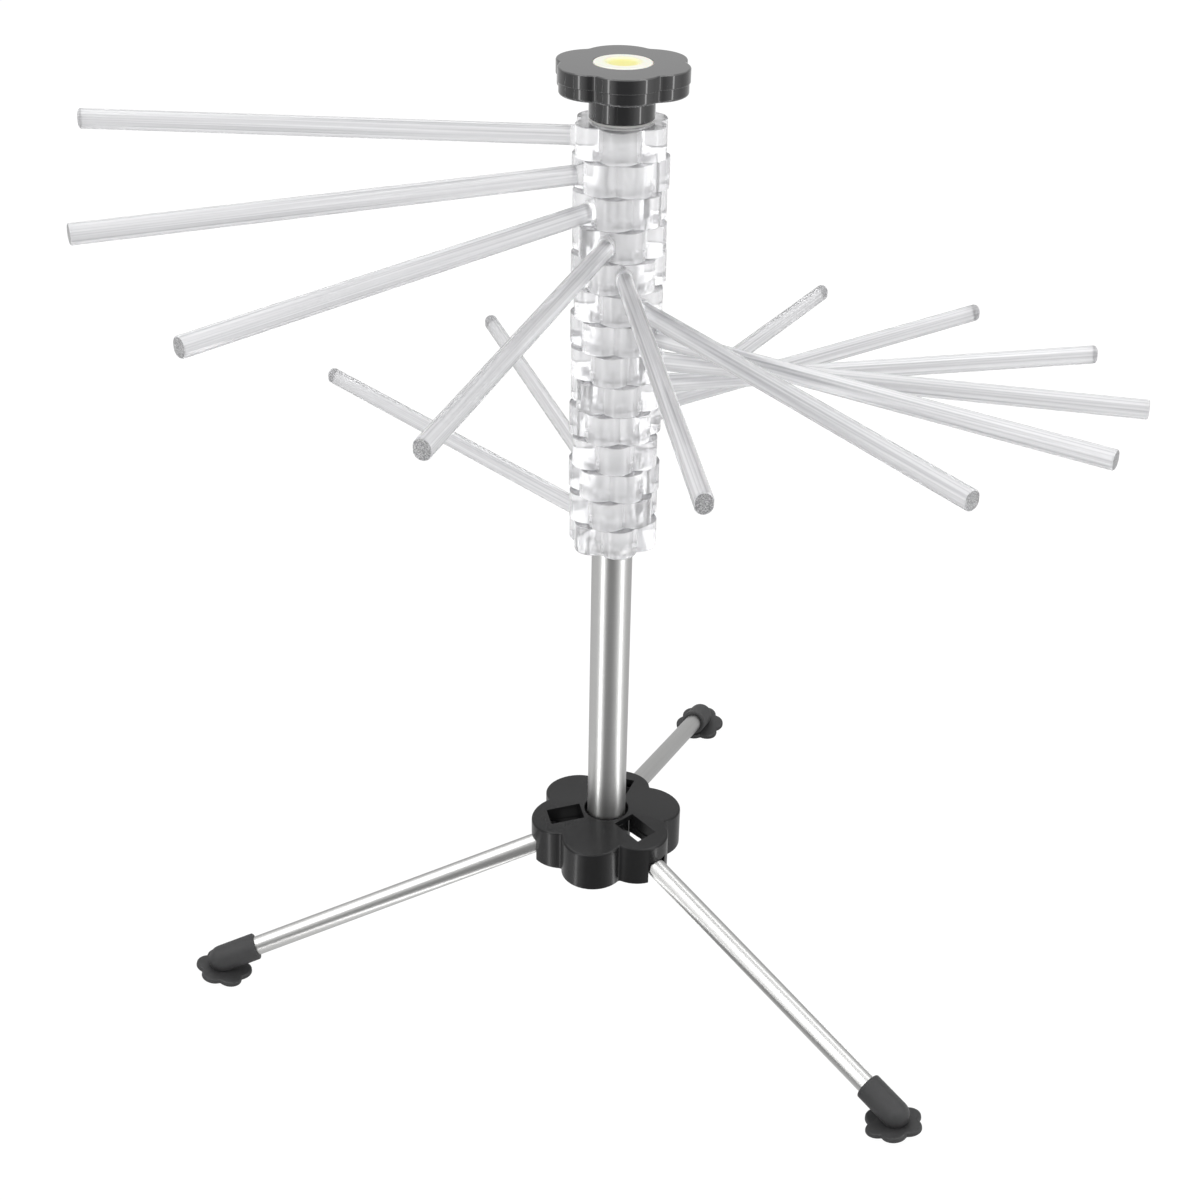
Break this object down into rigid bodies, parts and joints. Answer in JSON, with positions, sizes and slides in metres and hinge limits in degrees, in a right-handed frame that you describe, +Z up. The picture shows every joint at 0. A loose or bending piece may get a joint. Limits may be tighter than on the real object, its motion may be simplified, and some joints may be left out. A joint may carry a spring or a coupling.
{
  "type": "pasta drying rack",
  "caption": "Free-standing rack for drying fresh pasta: clear arms fan out around a steel column on folding legs, under a lobed clamping knob.",
  "frame": {"origin": "on the floor under the column's axis, within 4 mm of the middle of the box's base", "axes": "+Z up along the column, +X to the right in the picture, +Y away from its camera"},
  "size_m": [0.452, 0.4538, 0.4459],
  "materials": {
    "brushed_tube": "drawn stainless tube, brushed along its length",
    "fastener_steel": "plain steel",
    "hub_plastic": "satin moulded plastic, charcoal",
    "dark_plastic": "moulded nylon, black",
    "foot_rubber": "soft matt rubber, charcoal",
    "clear_acrylic": "clear polished acrylic",
    "knob_plastic": "polished moulded plastic, black",
    "cap_plastic": "glossy cream plastic with a pale yellow dished middle",
    "washer_nylon": "natural nylon"
  },
  "bodies": {
    "stand": {"column_tube": "brushed_tube", "column_top_plug": "washer_nylon", "column_foot_plug": "dark_plastic", "stack_ring": "fastener_steel", "hub": "hub_plastic", "hub_screw": "fastener_steel", "hub_washer": "fastener_steel", "leg_pin_1": "fastener_steel", "leg_pin_2": "fastener_steel", "leg_pin_3": "fastener_steel"},
    "leg_1": {"leg_tube_1": "brushed_tube", "leg_knuckle_1": "dark_plastic", "leg_foot_1": "foot_rubber"},
    "leg_2": {"leg_tube_2": "brushed_tube", "leg_knuckle_2": "dark_plastic", "leg_foot_2": "foot_rubber"},
    "leg_3": {"leg_tube_3": "brushed_tube", "leg_knuckle_3": "dark_plastic", "leg_foot_3": "foot_rubber"},
    "arm_1": {"arm_1": "clear_acrylic"},
    "arm_2": {"arm_2": "clear_acrylic"},
    "arm_3": {"arm_3": "clear_acrylic"},
    "arm_4": {"arm_4": "clear_acrylic"},
    "arm_5": {"arm_5": "clear_acrylic"},
    "arm_6": {"arm_6": "clear_acrylic"},
    "arm_7": {"arm_7": "clear_acrylic"},
    "arm_8": {"arm_8": "clear_acrylic"},
    "arm_9": {"arm_9": "clear_acrylic"},
    "arm_10": {"arm_10": "clear_acrylic"},
    "arm_11": {"arm_11": "clear_acrylic"},
    "arm_12": {"arm_12": "clear_acrylic"},
    "arm_13": {"arm_13": "clear_acrylic"},
    "arm_14": {"arm_14": "clear_acrylic"},
    "clamp_washer": {"knob_washer": "washer_nylon"},
    "knob": {"knob_upper_shell": "knob_plastic", "knob_lower_shell": "knob_plastic", "knob_cap": "cap_plastic", "knob_stud": "fastener_steel"}
  },
  "joints": [
    {"name": "leg_fold_1", "type": "hinge", "parent": "stand", "child": "leg_1", "pos_m": [-0.02625, -0.0063, 0.0602], "axis": [0.2334, -0.9724, 0], "range_deg": [0, 72]},
    {"name": "leg_fold_2", "type": "hinge", "parent": "stand", "child": "leg_2", "pos_m": [0.01859, -0.01959, 0.0602], "axis": [0.7254, 0.6884, 0], "range_deg": [0, 72]},
    {"name": "leg_fold_3", "type": "hinge", "parent": "stand", "child": "leg_3", "pos_m": [0.00767, 0.02589, 0.0602], "axis": [-0.9588, 0.284, 0], "range_deg": [0, 72]},
    {"name": "fan_turn", "type": "hinge", "parent": "stand", "child": "arm_14", "pos_m": [0, 0, 0.233], "axis": [0, 0, 1], "continuous": true},
    {"name": "arm_swing_13", "type": "hinge", "parent": "arm_14", "child": "arm_13", "pos_m": [0, 0, 0.247], "axis": [0, 0, 1], "range_deg": [-4, 24]},
    {"name": "arm_swing_12", "type": "hinge", "parent": "arm_13", "child": "arm_12", "pos_m": [0, 0, 0.261], "axis": [0, 0, 1], "range_deg": [-4.5, 23.5]},
    {"name": "arm_swing_11", "type": "hinge", "parent": "arm_12", "child": "arm_11", "pos_m": [0, 0, 0.275], "axis": [0, 0, 1], "range_deg": [-4.5, 23.5]},
    {"name": "arm_swing_10", "type": "hinge", "parent": "arm_11", "child": "arm_10", "pos_m": [0, 0, 0.289], "axis": [0, 0, 1], "range_deg": [-4, 24]},
    {"name": "arm_swing_9", "type": "hinge", "parent": "arm_10", "child": "arm_9", "pos_m": [0, 0, 0.303], "axis": [0, 0, 1], "range_deg": [-3.5, 24.5]},
    {"name": "arm_swing_8", "type": "hinge", "parent": "arm_9", "child": "arm_8", "pos_m": [0, 0, 0.317], "axis": [0, 0, 1], "range_deg": [-4, 24]},
    {"name": "arm_swing_7", "type": "hinge", "parent": "arm_8", "child": "arm_7", "pos_m": [0, 0, 0.331], "axis": [0, 0, 1], "range_deg": [-6, 22]},
    {"name": "arm_swing_6", "type": "hinge", "parent": "arm_7", "child": "arm_6", "pos_m": [0, 0, 0.345], "axis": [0, 0, 1], "range_deg": [-4.5, 23.5]},
    {"name": "arm_swing_5", "type": "hinge", "parent": "arm_6", "child": "arm_5", "pos_m": [0, 0, 0.359], "axis": [0, 0, 1], "range_deg": [-2.5, 25.5]},
    {"name": "arm_swing_4", "type": "hinge", "parent": "arm_5", "child": "arm_4", "pos_m": [0, 0, 0.373], "axis": [0, 0, 1], "range_deg": [-4.5, 23.5]},
    {"name": "arm_swing_3", "type": "hinge", "parent": "arm_4", "child": "arm_3", "pos_m": [0, 0, 0.387], "axis": [0, 0, 1], "range_deg": [-2.5, 25.5]},
    {"name": "arm_swing_2", "type": "hinge", "parent": "arm_3", "child": "arm_2", "pos_m": [0, 0, 0.401], "axis": [0, 0, 1], "range_deg": [-4.5, 23.5]},
    {"name": "arm_swing_1", "type": "hinge", "parent": "arm_2", "child": "arm_1", "pos_m": [0, 0, 0.415], "axis": [0, 0, 1], "range_deg": [-0.5, 27.5]},
    {"name": "clamp_lift", "type": "slide", "parent": "stand", "child": "clamp_washer", "axis": [0, 0, 1], "range_m": [0, 0.0101]},
    {"name": "knob_turn", "type": "hinge", "parent": "clamp_washer", "child": "knob", "pos_m": [0, 0, 0.434], "axis": [0, 0, 1], "range_deg": [0, 2880]}
  ],
  "couplings": [
    {"joint": "clamp_lift", "follows": "knob_turn", "m_per_rad": 0.00019894}
  ]
}
